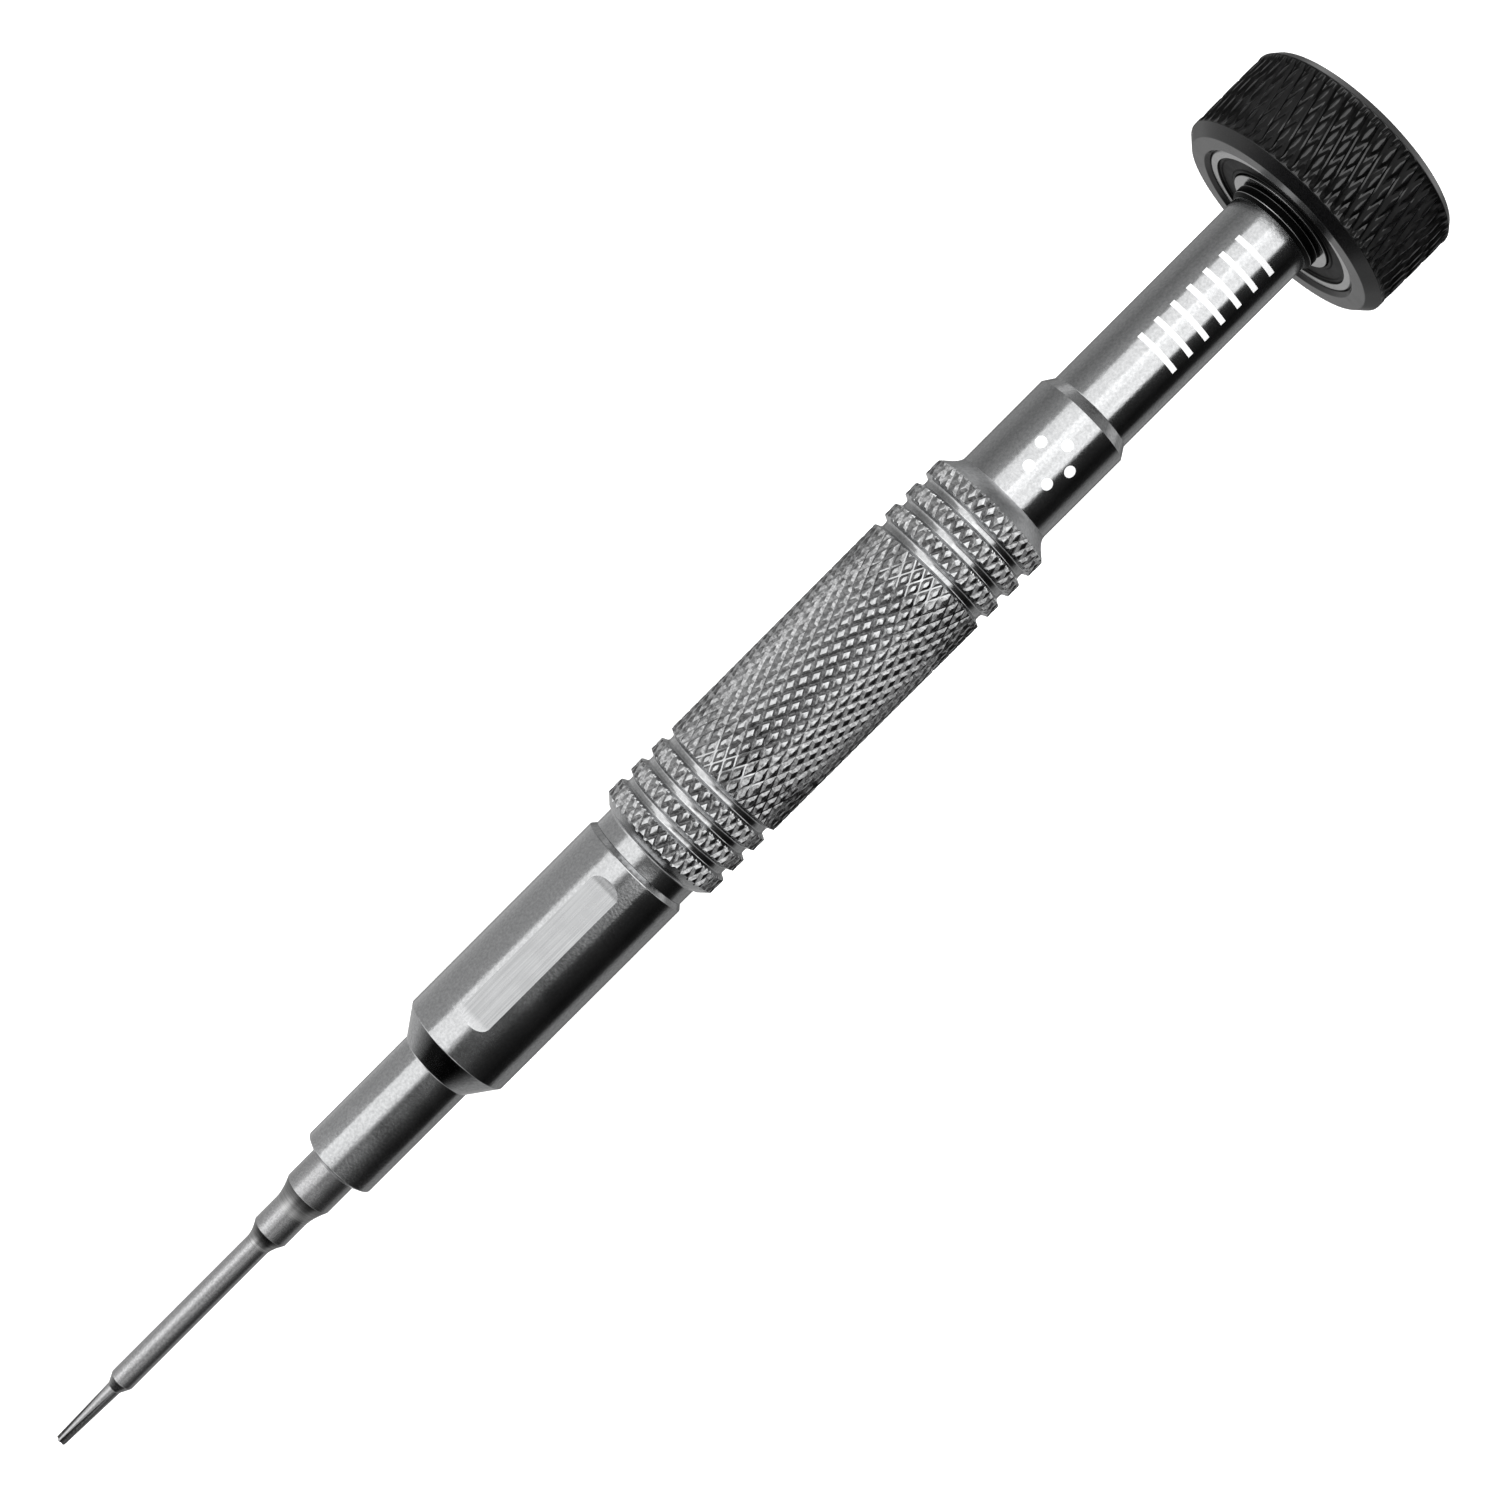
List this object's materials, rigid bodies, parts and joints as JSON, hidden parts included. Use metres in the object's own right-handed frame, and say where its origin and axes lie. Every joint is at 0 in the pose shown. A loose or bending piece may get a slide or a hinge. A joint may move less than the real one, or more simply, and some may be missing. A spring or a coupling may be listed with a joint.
{
  "type": "watchmaker screwdriver",
  "caption": "Slim precision screwdriver with a fixed stepped blade and star tip, a knurled grey metal handle and a black knurled finger cap that spins on a ball bearing.",
  "frame": {"origin": "end of the blade's tip, on the tool's axis", "axes": "+Z along the tool's axis from the tip to the finger cap; -Y is the side with the milled flat on the barrel, turned 5.5 degrees towards -X"},
  "size_m": [0.0174, 0.0174, 0.1259],
  "materials": {
    "blade_steel": "satin ground tool steel",
    "handle_grey": "satin grey anodised",
    "cap_black": "black anodised",
    "bearing_steel": "ground bearing steel",
    "shield_dark": "pressed steel, dark reflections",
    "screw_steel": "blackened steel",
    "cage_steel": "pressed strip steel"
  },
  "bodies": {
    "handle": {"blade": "blade_steel", "blade_set_screw": "screw_steel", "barrel": "handle_grey", "joining_stud": "screw_steel", "grip": "handle_grey", "stem_set_screw": "screw_steel", "neck_stem": "handle_grey", "spacer_ring": "shield_dark", "bearing_inner_ring": "bearing_steel", "retaining_washer": "bearing_steel", "axle_screw": "screw_steel"},
    "ball_cage": {"bearing_balls": "bearing_steel", "bearing_cage_lower": "cage_steel", "bearing_cage_upper": "cage_steel", "bearing_cage_rivets": "cage_steel"},
    "cap": {"swivel_cap": "cap_black", "bearing_outer_ring": "bearing_steel", "bearing_shield_lower": "shield_dark", "bearing_shield_upper": "shield_dark"}
  },
  "joints": [
    {"name": "cap_spin", "type": "hinge", "parent": "handle", "child": "cap", "pos_m": [0, 0, 0.12119], "axis": [0, 0, 1], "continuous": true},
    {"name": "cage_spin", "type": "hinge", "parent": "handle", "child": "ball_cage", "pos_m": [0, 0, 0.12119], "axis": [0, 0, 1], "continuous": true}
  ],
  "couplings": [
    {"joint": "cage_spin", "follows": "cap_spin", "ratio": 0.6044}
  ]
}
